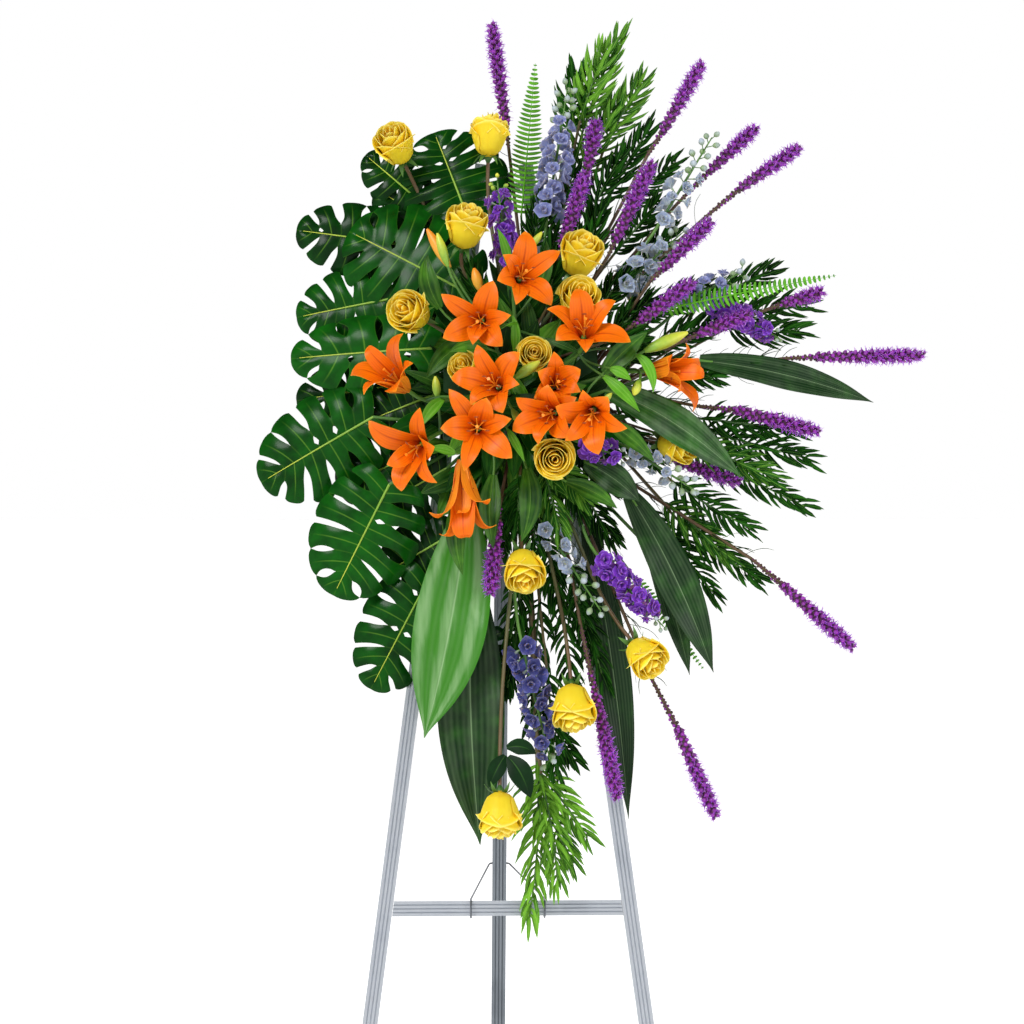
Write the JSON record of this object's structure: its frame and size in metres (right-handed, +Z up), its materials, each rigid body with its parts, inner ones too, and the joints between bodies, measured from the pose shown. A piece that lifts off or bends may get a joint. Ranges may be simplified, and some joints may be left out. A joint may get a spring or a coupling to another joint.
{
  "type": "standing funeral spray",
  "caption": "Standing funeral spray: yellow roses, orange lilies, purple spikes and large leaves set in a foam tray on a folding three-legged aluminium easel.",
  "frame": {"origin": "on the floor, at the middle of the whole spray's outline seen from above", "axes": "+Z up, -Y towards the viewer (the flowers face -Y and the rear leg stands at +Y), +X to the viewer's right"},
  "size_m": [0.9987, 0.658, 1.7493],
  "materials": {
    "aluminium": "satin reeded",
    "bolt_steel": "zinc plated",
    "spacer_nylon": "natural nylon",
    "brace_wire": "dull galvanised",
    "tray_plastic": "moulded",
    "foam": "wet floral foam",
    "tie_plastic": "moulded",
    "rose": "velvety petals",
    "stem": "satin stems",
    "lily": "satin petals",
    "liatris": "fluffy",
    "delphinium": "soft petals",
    "stock": "ruffled petals",
    "monstera": "glossy leaves",
    "aspidistra": "satin leaves",
    "podocarpus": "satin leaves",
    "fern": "matte fronds"
  },
  "bodies": {
    "frame": {"aspidistra_front": "aspidistra", "aspidistra_lower": "aspidistra", "aspidistra_right": "aspidistra", "delphinium_lower": "delphinium", "delphinium_right": "delphinium", "delphinium_upper": "delphinium", "easel_crossbar": "aluminium", "easel_leg_left": "aluminium", "easel_leg_right": "aluminium", "fern_right": "fern", "floral_foam": "foam", "greens_low": "podocarpus", "greens_top": "podocarpus", "hinge_bolt": "bolt_steel", "hinge_spacer_left": "spacer_nylon", "hinge_spacer_right": "spacer_nylon", "liatris_centre": "liatris", "liatris_lower": "liatris", "liatris_right": "liatris", "liatris_upper": "liatris", "lily_front_right": "lily", "lily_hanging": "lily", "lily_inner_right": "lily", "lily_left": "lily", "lily_lower_left": "lily", "lily_middle_lower": "lily", "lily_middle_upper": "lily", "lily_outer_right": "lily", "lily_right": "lily", "lily_stems": "stem", "lily_top": "lily", "lily_upper_left": "lily", "lily_upper_right": "lily", "monstera_lower_left": "monstera", "monstera_upper": "monstera", "podocarpus_right": "podocarpus", "rose_1": "rose", "rose_10": "rose", "rose_11": "rose", "rose_12": "rose", "rose_13": "rose", "rose_14": "rose", "rose_2": "rose", "rose_3": "rose", "rose_4": "rose", "rose_5": "rose", "rose_6": "rose", "rose_7": "rose", "rose_8": "rose", "rose_9": "rose", "rose_stems_lower": "stem", "rose_stems_upper": "stem", "spray_tray": "tray_plastic", "stock_lower": "stock", "stock_right": "stock", "stock_top": "stock", "tray_tie_left": "tie_plastic", "tray_tie_right": "tie_plastic"},
    "rear_leg": {"easel_leg_rear": "aluminium"},
    "brace": {"brace_wire": "brace_wire"}
  },
  "joints": [
    {"name": "leg_fold", "type": "hinge", "parent": "frame", "child": "rear_leg", "pos_m": [-0.128, 0.004, 1.49], "axis": [-1, 0, 0], "range_deg": [0, 19.5]},
    {"name": "brace_swing", "type": "hinge", "parent": "frame", "child": "brace", "pos_m": [-0.128, -0.14906, 0.404], "axis": [-1, 0, 0], "range_deg": [0, 94]}
  ],
  "couplings": [
    {"joint": "brace_swing", "follows": "leg_fold", "ratio": 4.8}
  ]
}
